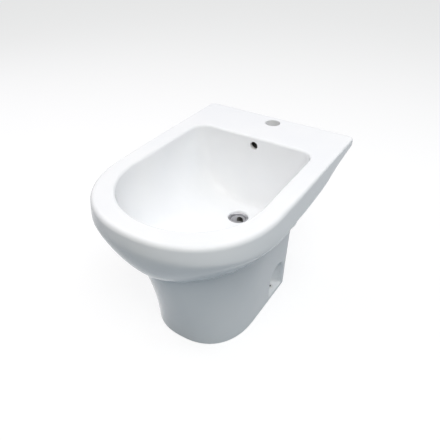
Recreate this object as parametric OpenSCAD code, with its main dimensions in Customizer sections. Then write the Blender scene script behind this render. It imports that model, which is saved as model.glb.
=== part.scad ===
// Floor standing bidet: one hollow vitreous china casting with a slotted waste.
// Millimetres. +Z up, front towards -Y, origin on the floor under the middle of the body.

/* [Overall] */
// Length from the nose to the rear edge of the deck
body_length = 552; // [530:2:580]
// Width across the flanks
body_width = 384; // [368:1:400]
// Height of the rim above the floor
body_height = 370; // [360:1:400]

/* [Rim and deck] */
// Width of the rim along the flanks
rim_width = 39.5; // [34:0.5:44]
// Width of the rim at the nose
nose_rim_width = 41.5; // [36:0.5:46]
// Depth of the tap deck, from the bowl's back wall to the rear edge
deck_depth = 122; // [110:1:132]
// Thickness of the overhanging deck at its rear edge
deck_thickness = 22; // [18:1:28]
// Length of the rounded nose, before the flanks run straight
nose_length = 191; // [176:1:204]
// Squareness of the nose in plan, where 2 is an ellipse
nose_power = 2.2; // [2.05:0.05:2.4]
// Squareness of the bowl's mouth at the nose
mouth_power = 2.05; // [1.95:0.05:2.2]
// Radius of the rim's outer edge
rim_edge_r = 9.5; // [6:0.5:12]
// How far the apron swells out past the rim's edge round the nose
nose_swell = 2; // [0:0.5:5]
// Radius of the rim's inner edge
rim_inner_r = 6; // [3:1:9]
// Radius of the rear corners in plan
rear_corner_r = 15; // [8:1:24]

/* [Bowl] */
// Depth of the bowl at the waste, below the rim
bowl_depth = 184; // [170:1:190]
// Distance of the waste from the bowl's back wall
waste_inset = 62; // [58:1:72]
// Squareness of the bowl's cross section
bowl_power = 2.85; // [2.4:0.05:3.2]
// Squareness of the bowl's nose in length section
bowl_nose_power = 2.3; // [2:0.05:2.8]
// Radius of the upright corners at the bowl's back wall
bowl_corner_r = 11; // [7:1:16]
// Fall of the bowl's floor towards the waste, in mm per mm
floor_fall = 0.07; // [0.03:0.01:0.1]

/* [Apron] */
// Height of the upright band below the rim at the flanks
apron_height = 54; // [46:1:64]
// Height of the upright band below the rim at the nose
apron_nose_height = 32; // [26:1:42]
// Fullness of the flank just above the neck, where 1 is straight and less is hollow
flank_power = 1.05; // [0.95:0.01:1.2]
// Roundness of the flank just below the band
flank_turn = 0.95; // [0.9:0.05:1.3]
// Fullness of the nose just above the neck
nose_under_power = 1.37; // [1.2:0.01:1.6]
// Roundness of the nose just below the band
nose_turn = 1.4; // [1.2:0.05:1.8]
// How closely the nose's shape keeps to its tip, where 1 spreads it evenly to the flanks
nose_focus = 1.3; // [0.8:0.1:2]

/* [Pedestal] */
// Width of the neck, where the apron meets the pedestal
neck_width = 242; // [236:1:252]
// Distance of the neck behind the nose
neck_setback = 51.5; // [45:0.5:60]
// Height of the neck at the rear
neck_height = 173; // [166:1:178]
// Rise of the neck from the rear to the front
neck_rise = 68; // [55:1:76]
// Width of the foot on the floor
foot_width = 232; // [224:1:240]
// Distance of the foot behind the nose
foot_setback = 119.5; // [108:0.5:130]
// Distance of the pedestal's back in front of the deck's rear edge
rear_setback = 138; // [130:1:150]
// Squareness of the foot in plan
foot_power = 2.4; // [2.2:0.05:2.7]
// How late the pedestal flares out towards the neck, where 1 is a straight cone
flare_power = 1.4; // [1.1:0.1:2.2]
// Wall thickness of the casting
wall = 11; // [9:0.5:13]
// Width of the rim that the foot stands on
foot_rim = 18; // [14:1:22]

/* [Rear opening] */
// Width of the opening in the back of the pedestal
opening_width = 160; // [130:2:170]
// Height of the opening above the floor
opening_height = 138; // [120:1:142]
// Radius of the opening's top corners
opening_r = 30; // [15:1:45]

/* [Tap hole and overflow] */
// Diameter of the tap hole
tap_hole_d = 35; // [32:0.5:37]
// Distance of the tap hole's centre from the rear edge
tap_hole_inset = 32; // [27:1:45]
// Thickness of the deck with its collar round the tap hole
tap_collar_h = 32; // [28:1:45]
// Diameter of the collar under the deck
tap_collar_d = 54; // [48:1:56]
// Diameter of the overflow hole
overflow_d = 16; // [12:1:20]
// Depth of the overflow hole's centre below the rim
overflow_drop = 19; // [17:1:32]
// Width of the overflow duct inside the back wall
duct_width = 26; // [20:1:34]
// Depth of the overflow duct
duct_depth = 9; // [7:0.5:10]

/* [Fixing niches] */
// Radius of the round-topped niche over each floor fixing
niche_r = 27; // [23:1:29]
// Height of the ledge in the niche
ledge_h = 12; // [9:1:16]
// Height of the niche to the top of its dome
niche_h = 94; // [80:1:105]
// Distance of the niche's centre in front of the pedestal's back
niche_inset = 52; // [46:1:60]
// Distance between the two floor fixing holes
fixing_spacing = 198; // [194:1:202]
// Diameter of the holes in the ledges
fixing_hole_d = 11; // [9:0.5:12]

/* [Waste] */
// Diameter of the waste's flange
flange_d = 48; // [47.6:0.1:50]
// Outside diameter of the waste's threaded barrel
barrel_d = 41.9; // [41:0.1:42]
// Diameter of the waterway through the waste
waterway_d = 36; // [33:0.5:37]
// Length of the waste below the flange
barrel_length = 92; // [84:1:110]
// Thickness of the outlet that the waste passes through
outlet_thickness = 37; // [33:1:40]
// Width of the overflow slots in the barrel
slot_width = 16; // [12:1:17]
// Height of the overflow slots
slot_height = 14; // [10:1:15]
// Depth of the slots' top edge below the bowl's floor
slot_drop = 12; // [10:0.5:13]
// Thickness of the seal under the flange
seal_t = 1.5; // [1:0.1:2]
// Height of the tapered gasket under the outlet
gasket_h = 9; // [7:0.5:12]
// Thickness of the slip washer
slip_t = 2; // [1.5:0.1:3]
// Height of the backnut
nut_h = 10; // [8:0.5:13]
// Size of the backnut across its flats
nut_af = 57; // [55:1:62]
// Height of the run-out groove where the barrel's thread ends under the nut
groove_h = 1.5; // [1:0.1:2.5]

/* [Fixing bushes] */
// Bore of the bushes that the floor screws pass through
bush_bore_d = 7; // [5:0.5:7.5]
// Diameter of the bush's flange
bush_flange_d = 17; // [15:0.5:19]
// Thickness of the bush's flange
bush_flange_t = 1.6; // [1.2:0.1:2.5]

/* [Hidden] */

eps = 0.01;
fit = 0.2;                                  // radial play between pieces that slide together
nose_steps = 16;                            // points of a half outline round the nose,
flank_steps = 8;                            // along the flank,
corner_steps = 4;                           // round the rear corner
back_steps = 4;                             // and across half of the back
half_count = nose_steps + flank_steps + corner_steps + back_steps;
ring_count = 2 * half_count;

nose_y = -body_length / 2;
rear_y = body_length / 2;
half_width = body_width / 2;
flank_y = nose_y + nose_length;             // where the flanks begin
top_z = body_height;

// Bowl, at the foot of the rim's inner edge
bowl_hw = half_width - rim_width - rim_inner_r / 2;
bowl_front = nose_y + nose_rim_width + rim_inner_r / 2;
bowl_back = rear_y - deck_depth - rim_inner_r / 2;
bowl_top_z = top_z - rim_inner_r;
bowl_nose = flank_y - bowl_front;
waste_y = bowl_back - waste_inset;
waste_z = top_z - bowl_depth;
back_wall_power = 16;                       // squareness of the corner of floor and back wall

// Hull, neck and pedestal
deck_under_z = top_z - deck_thickness;
hull_back = bowl_back + duct_depth + 1.5 * wall;
neck_hw = neck_width / 2;
neck_front = nose_y + neck_setback;
neck_back = rear_y - rear_setback;
neck_flank_share = 0.7;                     // share of the neck's length that is rounded
neck_flank = neck_front + (neck_back - neck_front) * neck_flank_share;
neck_power = 1.98;
neck_step = 2;                              // undercut of the apron's lower edge
hollow_share = 0.85;                        // share of its height at which the hollow's side wall ends
hollow_gap = 5;                             // least height from there to the bowl's underside
pedestal_corner_r = wall + 2;               // rear corners of the neck and the foot
foot_hw = foot_width / 2;
foot_front = nose_y + foot_setback;
foot_back = neck_back - 1;
foot_flank_share = 0.457;                   // share of the foot's length that is rounded
foot_flank = foot_front + (foot_back - foot_front) * foot_flank_share;
swell_run = 100;                            // length of flank over which the nose's swell dies away
shoulder_run = 255;                         // length over which the band runs out to the deck
shoulder_power = 1.5;                       // how late the band turns up to the deck
hollow_start = 121;                         // where the flank begins to turn into the deck's overhang
hollow_run = 135;
hollow_power = 4;                           // squareness of the hollow below the deck

// Outlet
outlet_bore_r = barrel_d / 2 + 0.8;
seat_depth = 5;                             // depth of the cone that the flange sits in
seat_r = flange_d / 2 + 1;
outlet_bottom_z = waste_z - outlet_thickness;
outlet_wall = 14;
outlet_boss_r = outlet_bore_r + outlet_wall;
slot_top_z = waste_z - slot_drop;
slot_z = slot_top_z - slot_height / 2;
nut_bottom_z = outlet_bottom_z - gasket_h - slip_t - nut_h;
duct_y = bowl_back + wall - 1;              // front face of the upright duct
duct_top_z = top_z - overflow_drop + overflow_d / 2 + 1;

// Niches
niche_x = foot_hw + 2;
niche_y = foot_back - niche_inset;
dome_z = niche_h - niche_r;
fixing_x = fixing_spacing / 2;

// ---- Outlines and rings ----

function clamp01(v) = max(0, min(1, v));
function smooth(v) = let (c = clamp01(v)) c * c * (3 - 2 * c);
function mix(a, b, f) = a + (b - a) * f;

// Half of a D-shaped outline, from the nose round the +X flank to the middle of the back
function half_outline(hw, front, flank, back, power, r) = concat(
    [for (i = [0 : nose_steps - 1]) let (a = 90 * i / nose_steps)
        [hw * pow(sin(a), 2 / power), flank - (flank - front) * pow(cos(a), 2 / power)]],
    [for (i = [0 : flank_steps - 1]) [hw, mix(flank, back - r, i / flank_steps)]],
    [for (i = [0 : corner_steps - 1]) let (a = 90 * i / corner_steps)
        [hw - r + r * cos(a), back - r + r * sin(a)]],
    [for (i = [0 : back_steps]) [(hw - r) * (1 - i / back_steps), back]]
);

// Half outline of the rim, grown outwards by d
function rim_outline(d) = half_outline(half_width + d, nose_y - d, flank_y, rear_y + d, nose_power,
                                       rear_corner_r + d);

// Half outline of the bowl's mouth, grown outwards by d
function mouth_outline(d) = half_outline(bowl_hw + d, bowl_front - d, flank_y, bowl_back + d, mouth_power,
                                         bowl_corner_r + d);

function neck_outline(d) = half_outline(neck_hw + d, neck_front - d, neck_flank, neck_back + d, neck_power,
                                        pedestal_corner_r + d);
function foot_outline(d) = half_outline(foot_hw + d, foot_front - d, foot_flank, foot_back + d, foot_power,
                                        pedestal_corner_r + d);
// Lower edge of the hull, which reaches behind the pedestal
function hull_outline() = half_outline(neck_hw + neck_step, neck_front - neck_step, neck_flank, hull_back,
                                       neck_power, 2 * wall);

function flat(outline, z) = [for (p = outline) [p[0], p[1], z]];
function neck_z(y) = neck_height + neck_rise * (neck_back - y) / (neck_back - neck_front);
function on_neck(outline, drop) = [for (p = outline) [p[0], p[1], neck_z(min(p[1], neck_back)) - drop]];

// Height of the bowl's floor along its middle
function floor_z(y) = waste_z + floor_fall * abs(y - waste_y);

// Half ring of the bowl at angle a, from 0 at its mouth to 90 at its floor, grown by d
function bowl_ring(a, d) = let (
    hw = (bowl_hw + d) * pow(cos(a), 2 / bowl_power),
    front = flank_y - (bowl_nose + d) * pow(cos(a), 2 / bowl_nose_power),
    back = waste_y + (waste_inset + d) * pow(cos(a), 2 / back_wall_power),
    r = min(bowl_corner_r + d, hw / 2)
) [for (p = half_outline(hw, front, flank_y, back, mouth_power, r))
    [p[0], p[1], bowl_top_z - (bowl_top_z - floor_z(p[1]) + d) * pow(sin(a), 2 / bowl_power)]];

// Height of the bowl's outer face over a point inside the pedestal
function under_bowl_z(p) = let (
    u = abs(p[0]) / (bowl_hw + wall),
    v = max(0, flank_y - p[1]) / (bowl_nose + wall),
    g = min(1, pow(pow(u, 2) + pow(v, 2), 0.5))
) bowl_top_z - (bowl_top_z - floor_z(p[1]) + wall) * pow(1 - pow(g, bowl_power), 1 / bowl_power);

// Height that the hollow's side wall aims for at point p, so that it ends below the bowl's underside
function hollow_h(p) = min(neck_z(p[1]) - neck_step, (under_bowl_z(p) - hollow_gap) / hollow_share);

// Share of the nose's values at point i of a half outline, from 1 at the tip to 0 at the flank
function nose_share(i) = i < nose_steps ? pow(cos(90 * i / nose_steps), nose_focus) : 0;

// Half ring of the rim's outer edge at angle a, from 0 on its top to 90 on its side
function rim_edge_ring(a) = let (
    d = rim_edge_r * (sin(a) - 1),
    wide = rim_outline(d),
    narrow = rim_outline(d - nose_swell)
) [for (i = [0 : half_count]) let (swell = 1 - smooth((wide[i][1] - flank_y) / swell_run))
    [mix(wide[i][0], narrow[i][0], swell), mix(wide[i][1], narrow[i][1], swell),
     top_z - rim_edge_r * (1 - cos(a))]];

// Height of the lower edge of the band below the rim's edge
function band_z(i, y) = let (run = clamp01((y - rear_y + shoulder_run) / shoulder_run))
    mix(top_z - mix(apron_height, apron_nose_height, nose_share(i)), deck_under_z, pow(run, shoulder_power));

// Half ring of the band at fraction f of the way down, where it swells out to the full outline
function band_ring(f) = let (upper = rim_edge_ring(90), lower = rim_outline(0), out = sin(90 * f))
[for (i = [0 : half_count])
    [mix(upper[i][0], lower[i][0], out), mix(upper[i][1], lower[i][1], out),
     mix(upper[i][2], band_z(i, lower[i][1]), f)]];

// Half ring of the apron at angle a, from 0 at the band to 90 at the hull's lower edge
function apron_ring(a) = let (upper = rim_outline(0), lower = on_neck(hull_outline(), 0))
[for (i = [0 : half_count]) let (
    power = mix(flank_power, nose_under_power, nose_share(i)),
    turn = mix(flank_turn, nose_turn, nose_share(i)),
    hollow = smooth((upper[i][1] - hollow_start) / hollow_run),
    out = mix(pow(cos(a), 2 / power), 1 - pow(sin(a), 2 / hollow_power), hollow),
    up = mix(1 - pow(sin(a), 2 / turn), pow(cos(a), 2 / hollow_power), hollow)
) [mix(lower[i][0], upper[i][0], out), mix(lower[i][1], upper[i][1], out),
   mix(lower[i][2], band_z(i, upper[i][1]), up)]];

// Half ring of the pedestal at fraction f of the way up to the neck, with its wall moved in by d
function pedestal_ring(f, d) = let (
    low = foot_outline(-d), high = neck_outline(-d), flare = pow(f, flare_power)
) [for (i = [0 : half_count])
    [mix(low[i][0], high[i][0], flare), mix(low[i][1], high[i][1], flare),
     f * (d > 0 ? hollow_h(high[i]) : neck_z(high[i][1]) - neck_step)]];

// Half ring under the bowl, from 1 at the pedestal's inner wall to 0 at the middle
function under_ring(f) = [for (p = neck_outline(-wall)) let (
    q = [p[0] * f, p[1] < flank_y ? mix(flank_y, p[1], f)
                 : p[1] > waste_y ? mix(waste_y, p[1], sqrt(f)) : p[1]]
) [q[0], q[1], under_bowl_z(q)]];

function full_ring(half) = concat(half,
    [for (i = [half_count - 1 : -1 : 1]) [-half[i][0], half[i][1], half[i][2]]]);

// Triangles between neighbouring rings, mirrored about the middle plane
function skin_faces(rings) = [for (k = [0 : rings - 2]) for (i = [0 : ring_count - 1])
    let (a = k * ring_count + i, b = k * ring_count + (i + 1) % ring_count,
         c = b + ring_count, d = a + ring_count)
    each (i < half_count ? [[a, b, c], [a, c, d]] : [[a, b, d], [b, c, d]])];

// Triangles that close a ring: strips across the middle plane, then a fan over the straight back
function zip_faces(first, flip) = let (
    last = half_count - back_steps - 1,
    faces = concat(
        [for (i = [0 : last - 1]) let (c = ring_count - i - 1, d = (ring_count - i) % ring_count)
            each concat([[i, i + 1, c]], i > 0 ? [[i, c, d]] : [])],
        [for (k = [last + 1 : ring_count - last - 1]) [last, k, k + 1]])
) [for (f = faces) [for (j = flip ? [2, 1, 0] : [0, 1, 2]) first + f[j]]];

// ---- Ceramic body ----

bowl_angles = [88, 84, 79, 73, 66, 58, 50, 42, 34, 26, 18, 10, 4];
apron_angles = [6, 16, 28, 40, 52, 64, 76, 84, 90];

// One closed skin: bowl, rim, apron, pedestal, foot, inner wall, underside of the bowl
module casting() {
    halves = concat(
        [for (a = bowl_angles) bowl_ring(a, 0)],
        [for (a = [0, 30, 60, 90])
            flat(mouth_outline(rim_inner_r * (1 - cos(a))), bowl_top_z + rim_inner_r * sin(a))],
        [for (a = [0 : 22.5 : 90]) rim_edge_ring(a)],
        [for (f = [0.35, 0.7, 1]) band_ring(f)],
        [for (a = apron_angles) apron_ring(a)],
        [for (f = [1, 0.9, 0.78, 0.64, 0.48, 0.3, 0.12, 0.01]) pedestal_ring(f, 0)],
        [flat(foot_outline(-neck_step), 0)],
        [flat(foot_outline(-foot_rim), 0)],
        [pedestal_ring(0.06, foot_rim), pedestal_ring(0.14, wall)],
        [for (f = [0.4, 0.65, hollow_share]) pedestal_ring(f, wall)],
        [for (f = [1, 0.92, 0.8, 0.65, 0.5, 0.35, 0.2, 0.08]) under_ring(f)]
    );
    points = [for (h = halves) each full_ring(h)];
    polyhedron(points, concat(zip_faces(0, true), skin_faces(len(halves)),
                              zip_faces((len(halves) - 1) * ring_count, false)), 8);
}

// Round-topped solid that the niches and the walls behind them are made from
module capsule(r, bottom) {
    translate([niche_x, niche_y, 0]) rotate_extrude($fn = 40) intersection() {
        union() {
            translate([0, bottom]) square([r, dome_z - bottom]);
            translate([0, dome_z]) circle(r = r, $fn = 40);
        }
        translate([0, bottom]) square([r + 1, dome_z - bottom + r + 1]);
    }
}

// Wall that stands round a niche, inside the pedestal
module niche_wall() {
    inside_skin = 3;                        // how far it ends behind the pedestal's outer face
    intersection() {
        capsule(niche_r + wall - 1, 0);
        cube([foot_hw - inside_skin, rear_y, niche_h + wall]);
    }
}

module both_sides() {
    children();
    mirror([1, 0, 0]) children();
}

// Arched opening in the back of the pedestal
module rear_opening() {
    translate([0, neck_back + wall, 0]) rotate([90, 0, 0]) linear_extrude(4 * wall) union() {
        translate([-opening_width / 2, -1]) square([opening_width, opening_height - opening_r + 1]);
        translate([-opening_width / 2 + opening_r, 0])
            square([opening_width - 2 * opening_r, opening_height]);
        for (s = [-1, 1])
            translate([s * (opening_width / 2 - opening_r), opening_height - opening_r])
                circle(r = opening_r, $fn = 48);
    }
}

// Waterway from the overflow hole down the back wall and forward into the outlet
module overflow_duct() {
    translate([0, duct_y + 1, top_z - overflow_drop]) rotate([90, 0, 0])
        cylinder(d = overflow_d, h = wall + 4, $fn = 48);
    translate([-duct_width / 2, duct_y, slot_z - slot_height / 2])
        cube([duct_width, duct_depth, duct_top_z - slot_z + slot_height / 2]);
    translate([-slot_width / 2, waste_y, slot_z - slot_height / 2])
        cube([slot_width, duct_y + duct_depth / 2 - waste_y, slot_height]);
}

// Round outlet and the duct's casing under the bowl
module outlet_boss() {
    overlap = 4;                            // how far they end inside the casting's own wall
    casing_w = duct_width + 2 * wall - overlap;
    translate([0, waste_y, outlet_bottom_z])
        cylinder(r = outlet_boss_r, h = outlet_thickness - overlap, $fn = 72);
    translate([-casing_w / 2, waste_y, outlet_bottom_z + overlap / 2])
        cube([casing_w, hull_back - waste_y - 1, outlet_thickness - 2 * overlap]);
}

// Bore and cone of the outlet
module outlet_cut() {
    translate([0, waste_y, 0]) rotate_extrude($fn = 72) polygon([
        [0, outlet_bottom_z - 1], [outlet_bore_r, outlet_bottom_z - 1],
        [outlet_bore_r, waste_z - seat_depth], [seat_r, waste_z],
        [seat_r, waste_z + seat_depth], [0, waste_z + seat_depth]]);
}

module ceramic_body() {
    color([0.95, 0.95, 0.94]) difference() {
        union() {
            casting();
            outlet_boss();
            translate([0, rear_y - tap_hole_inset, top_z - tap_collar_h])
                cylinder(d = tap_collar_d, h = tap_collar_h - 2, $fn = 64);
            both_sides() niche_wall();
        }
        translate([0, rear_y - tap_hole_inset, top_z - tap_collar_h - 1])
            cylinder(d = tap_hole_d, h = tap_collar_h + 2, $fn = 64);
        outlet_cut();
        overflow_duct();
        rear_opening();
        both_sides() {
            capsule(niche_r, ledge_h);
            translate([fixing_x, niche_y, -1]) cylinder(d = fixing_hole_d, h = ledge_h + 2, $fn = 32);
        }
    }
}

// ---- Waste ----

// Brass waste: dished flange, slotted barrel and plain waterway
module waste_body() {
    barrel_r = barrel_d / 2;
    bore_r = waterway_d / 2;
    flange_r = flange_d / 2;
    bottom_z = waste_z - barrel_length;
    lip_z = waste_z + 0.6;
    bead_h = 0.4;                           // raised edge round the flange
    dish_z = waste_z - 4;                   // where the dished flange meets the bore
    cone_z = waste_z - seat_depth + seal_t;
    groove_z = nut_bottom_z - 0.5;
    chamfer = 1;
    color([0.72, 0.73, 0.75]) translate([0, waste_y, 0]) difference() {
        rotate_extrude($fn = 96) polygon([
            [bore_r, bottom_z], [barrel_r - chamfer, bottom_z], [barrel_r, bottom_z + chamfer],
            [barrel_r, groove_z - groove_h], [barrel_r - chamfer, groove_z - groove_h],
            [barrel_r - chamfer, groove_z], [barrel_r, groove_z], [barrel_r, cone_z],
            [flange_r, waste_z], [flange_r, lip_z], [flange_r - chamfer, lip_z + bead_h],
            [flange_r - 2 * chamfer, lip_z], [bore_r + chamfer, dish_z], [bore_r, dish_z - 2 * chamfer]]);
        translate([-slot_width / 2, -barrel_r - 1, slot_z - slot_height / 2])
            cube([slot_width, barrel_d + 2, slot_height / 2]);
        translate([0, barrel_r + 1, slot_z]) rotate([90, 0, 0]) intersection() {
            cylinder(d = slot_width, h = barrel_d + 2, $fn = 48);
            translate([-slot_width / 2, -eps, 0]) cube([slot_width, slot_height / 2, barrel_d + 2]);
        }
    }
}

// Rubber seal between the flange and the cone of the outlet
module flange_seal() {
    play = 0.1;
    inner_r = barrel_d / 2 + play;
    seat_z = waste_z - seat_depth;
    color([0.15, 0.15, 0.16]) translate([0, waste_y, 0]) rotate_extrude($fn = 96) polygon([
        [inner_r, seat_z + 2 * play], [outlet_bore_r - play, seat_z + 2 * play],
        [seat_r - 2 * play, waste_z - play], [flange_d / 2 + play, waste_z - play],
        [inner_r, seat_z + seal_t - play]]);
}

// Tapered rubber gasket pressed up against the underside of the outlet
module under_gasket() {
    inner_r = barrel_d / 2 + fit;
    foot_w = 10;                            // radial width at the washer
    top_w = 6.5;                            // radial width at the outlet
    straight_h = gasket_h / 2;
    color([0.12, 0.12, 0.13]) translate([0, waste_y, outlet_bottom_z - gasket_h])
        rotate_extrude($fn = 96) polygon([
            [inner_r, 0], [inner_r + foot_w, 0], [inner_r + foot_w, straight_h],
            [inner_r + top_w, gasket_h], [inner_r, gasket_h]]);
}

// Plastic washer that lets the nut turn without dragging the gasket
module slip_washer() {
    inner_r = barrel_d / 2 + fit;
    ring_w = 9.5;
    color([0.85, 0.86, 0.88]) translate([0, waste_y, outlet_bottom_z - gasket_h - slip_t])
        difference() {
            cylinder(r = inner_r + ring_w, h = slip_t, $fn = 96);
            translate([0, 0, -1]) cylinder(r = inner_r, h = slip_t + 2, $fn = 96);
        }
}

// Hexagonal brass nut with a round skirt
module backnut() {
    skirt_h = 2;
    skirt_r = nut_af / 2 + 1.5;
    corner_r = nut_af / sqrt(3);
    chamfer_r = nut_af / 2 + 1;             // where the chamfer on the hexagon's corners ends
    color([0.78, 0.62, 0.32]) translate([0, waste_y, nut_bottom_z])
        difference() {
            union() {
                intersection() {
                    cylinder(r = corner_r, h = nut_h - skirt_h, $fn = 6);
                    cylinder(r1 = chamfer_r, r2 = chamfer_r + 3, h = nut_h, $fn = 96);
                }
                translate([0, 0, nut_h - skirt_h - eps])
                    cylinder(r = skirt_r, h = skirt_h + eps, $fn = 96);
            }
            translate([0, 0, -1]) cylinder(d = barrel_d + 1.5 * fit, h = nut_h + 2, $fn = 96);
        }
}

// ---- Fixing bushes ----

// Flanged sleeve that keeps a floor screw off the ceramic
module fixing_bush() {
    translate([0, 0, ledge_h]) difference() {
        union() {
            cylinder(d = bush_flange_d, h = bush_flange_t, $fn = 48);
            translate([0, 0, 1 - ledge_h])
                cylinder(d = fixing_hole_d - fit, h = ledge_h - 1 + eps, $fn = 48);
        }
        translate([0, 0, -ledge_h]) cylinder(d = bush_bore_d, h = ledge_h + bush_flange_t + 1, $fn = 48);
    }
}

module fixing_bush_left() {
    color([0.93, 0.93, 0.92]) translate([-fixing_x, niche_y, 0]) fixing_bush();
}

module fixing_bush_right() {
    color([0.93, 0.93, 0.92]) translate([fixing_x, niche_y, 0]) fixing_bush();
}

ceramic_body();
waste_body();
flange_seal();
under_gasket();
slip_washer();
backnut();
fixing_bush_left();
fixing_bush_right();
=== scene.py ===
"""Looks of the floor standing bidet: glazed casting, chromed waste, rubber, brass and nylon pieces.

The casting repeats the closed skin of the part's source with finer rings. Solid tools are then added to it
and cut out of it, as in the source, but with soft lips on the cut edges.
"""
import math
import bpy
import bmesh
from mathutils import Matrix, Vector


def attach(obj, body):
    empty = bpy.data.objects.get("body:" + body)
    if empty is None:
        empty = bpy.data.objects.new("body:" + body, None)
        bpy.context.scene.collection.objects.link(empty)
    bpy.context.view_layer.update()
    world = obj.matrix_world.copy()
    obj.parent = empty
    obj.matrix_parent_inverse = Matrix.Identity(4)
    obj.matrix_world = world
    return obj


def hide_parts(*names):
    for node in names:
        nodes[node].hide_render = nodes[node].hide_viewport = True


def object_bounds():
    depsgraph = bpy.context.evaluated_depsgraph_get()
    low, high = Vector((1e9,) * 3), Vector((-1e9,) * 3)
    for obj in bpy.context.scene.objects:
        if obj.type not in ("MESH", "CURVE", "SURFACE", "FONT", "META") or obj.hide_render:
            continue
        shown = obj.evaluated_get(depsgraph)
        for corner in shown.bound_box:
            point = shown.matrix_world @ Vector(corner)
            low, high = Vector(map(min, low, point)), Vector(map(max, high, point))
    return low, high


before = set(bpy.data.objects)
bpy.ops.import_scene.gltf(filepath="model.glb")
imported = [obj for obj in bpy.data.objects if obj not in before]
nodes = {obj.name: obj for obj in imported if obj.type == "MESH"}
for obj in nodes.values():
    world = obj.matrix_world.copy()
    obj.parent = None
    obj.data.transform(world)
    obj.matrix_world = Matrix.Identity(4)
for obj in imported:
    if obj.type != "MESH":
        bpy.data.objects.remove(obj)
cad_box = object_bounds()
scene = bpy.context.scene
MM = 0.001

# ------------------------------------------------ sizes in millimetres, as in the part's source
BODY_WIDTH, BODY_LENGTH, BODY_HEIGHT = (round((high - low) / MM, 1) for low, high in zip(*cad_box))

RIM_WIDTH = 39.5                # along the flanks
NOSE_RIM_WIDTH = 41.5
DECK_DEPTH = 122                # from the bowl's back wall to the rear edge
DECK_THICKNESS = 22             # at the rear edge
NOSE_LENGTH = 191               # before the flanks run straight
NOSE_POWER = 2.2                # squareness in plan, where 2 is an ellipse
MOUTH_POWER = 2.05
NOSE_SWELL = 2                  # how far the apron swells out past the rim's edge
SWELL_RUN = 100                 # length of flank over which the swell dies away
RIM_INNER_R = 6
REAR_CORNER_R = 15

BOWL_DEPTH = 184                # at the waste, below the rim
WASTE_INSET = 62                # from the bowl's back wall
BOWL_POWER = 2.85               # squareness of the bowl's cross section,
BOWL_NOSE_POWER = 2.3           # of its nose in length section,
BACK_WALL_POWER = 16            # and of the corner between its floor and its back wall
FLOOR_FALL = 0.07               # mm per mm

APRON_HEIGHT = 54               # of the upright band below the rim at the flanks
APRON_NOSE_HEIGHT = 32
FLANK_POWER = 1.05              # fullness of the flank just above the neck
FLANK_TURN = 0.95               # roundness of the flank just below the band
NOSE_UNDER_POWER = 1.37
NOSE_TURN = 1.4
NOSE_FOCUS = 1.3                # how closely the nose's shape keeps to its tip
SHOULDER_RUN = 255              # length over which the band runs out to the deck
SHOULDER_POWER = 1.5            # how late the band turns up to the deck
HOLLOW_START = 121              # y where the flank begins to turn into the deck's overhang
HOLLOW_RUN = 135                # length over which it does
HOLLOW_POWER = 4                # squareness of the hollow below the deck

NECK_WIDTH = 242                # where the apron meets the pedestal
NECK_SETBACK = 51.5             # behind the nose
NECK_HEIGHT = 173               # at the rear
NECK_RISE = 68                  # from the rear to the front
NECK_POWER = 1.98
NECK_STEP = 2                   # undercut of the apron's lower edge
NECK_FLANK_SHARE = 0.7          # share of the neck's length that is rounded
FOOT_WIDTH = 232
FOOT_SETBACK = 119.5            # behind the nose
FOOT_POWER = 2.4
FOOT_FLANK_SHARE = 0.457
FLARE_POWER = 1.4               # how late the pedestal flares out towards the neck
REAR_SETBACK = 138              # of the pedestal's back, in front of the deck's rear edge
WALL = 11
FOOT_RIM = 18                   # width of the rim that the foot stands on
PEDESTAL_CORNER_R = WALL + 2

OPENING_WIDTH = 160             # in the back of the pedestal
OPENING_HEIGHT = 138
OPENING_R = 30
TAP_HOLE_D = 35
TAP_HOLE_INSET = 32             # from the rear edge
TAP_COLLAR_H = 32               # from the rim down
TAP_COLLAR_D = 54
DUCT_WIDTH = 26                 # of the overflow's upright duct
DUCT_DEPTH = 9
LEDGE_H = 12                    # height of the niche's ledge
NICHE_INSET = 52                # of the fixing, in front of the pedestal's back
FIXING_SPACING = 198
FIXING_HOLE_D = 11

BARREL_D = 41.9                 # over the waste's thread
WATERWAY_D = 36
BARREL_LENGTH = 92              # below the bowl's floor
OUTLET_THICKNESS = 37
OUTLET_WALL = 14
SEAT_DEPTH = 5                  # of the cone that the flange sits in
SLOT_WIDTH = 16
SLOT_HEIGHT = 14
SLOT_DROP = 12                  # of the slots' top edge, below the bowl's floor
SEAL_T = 1.5
BUSH_BORE_D = 7
BUSH_FLANGE_D = 17
BUSH_FLANGE_T = 1.6

# ------------------------------------------------ sizes read off the photograph more closely
RIM_EDGE_R = 10.5               # outer edge of the rim at the nose,
REAR_EDGE_R = 4.5               # which sharpens towards the deck
EDGE_START = -200               # y where it begins to sharpen
EDGE_RUN = 330                  # length over which it does
BOWL_TAPER = 0.016              # share by which the bowl is narrower at the deck
BOWL_CORNER_R = 32
OVERFLOW_D = 19
OVERFLOW_DROP = 21.5            # of the hole's centre, below the rim
NICHE_R = 31
NICHE_H = 91                    # to the top of the dome
NICHE_LEAD = 4                  # of the niche's centre, in front of the fixing
FLANGE_D = 46.4
FLANGE_RECESS = 3               # of the flange, below the bowl's floor
SLOT_TURN = 14                  # degrees from -Y that the slots face
RECESS_EDGE = ((0.5, -1), (0.9, 0), (1.7, 1), (2.9, 1.6))   # out from the seat, up from the bowl's floor
THREAD_PITCH = 2.309
THREAD_DEPTH = 1.1

# ------------------------------------------------ lips and tools
TAP_LIP = 2.2                   # radii of the soft lips
OVERFLOW_LIP = 0.7
NICHE_LIP = 7
OPENING_LIP = 2.5
LEDGE_R = 4                     # inner edge between the niche's wall and its ledge
PAST = 1                        # how far a tool reaches past the face that it cuts
APART = 0.07                    # keeps the faces of two tools out of one plane
NEAR = 0.1                      # how far from a cut its faces are still looked for

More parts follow.
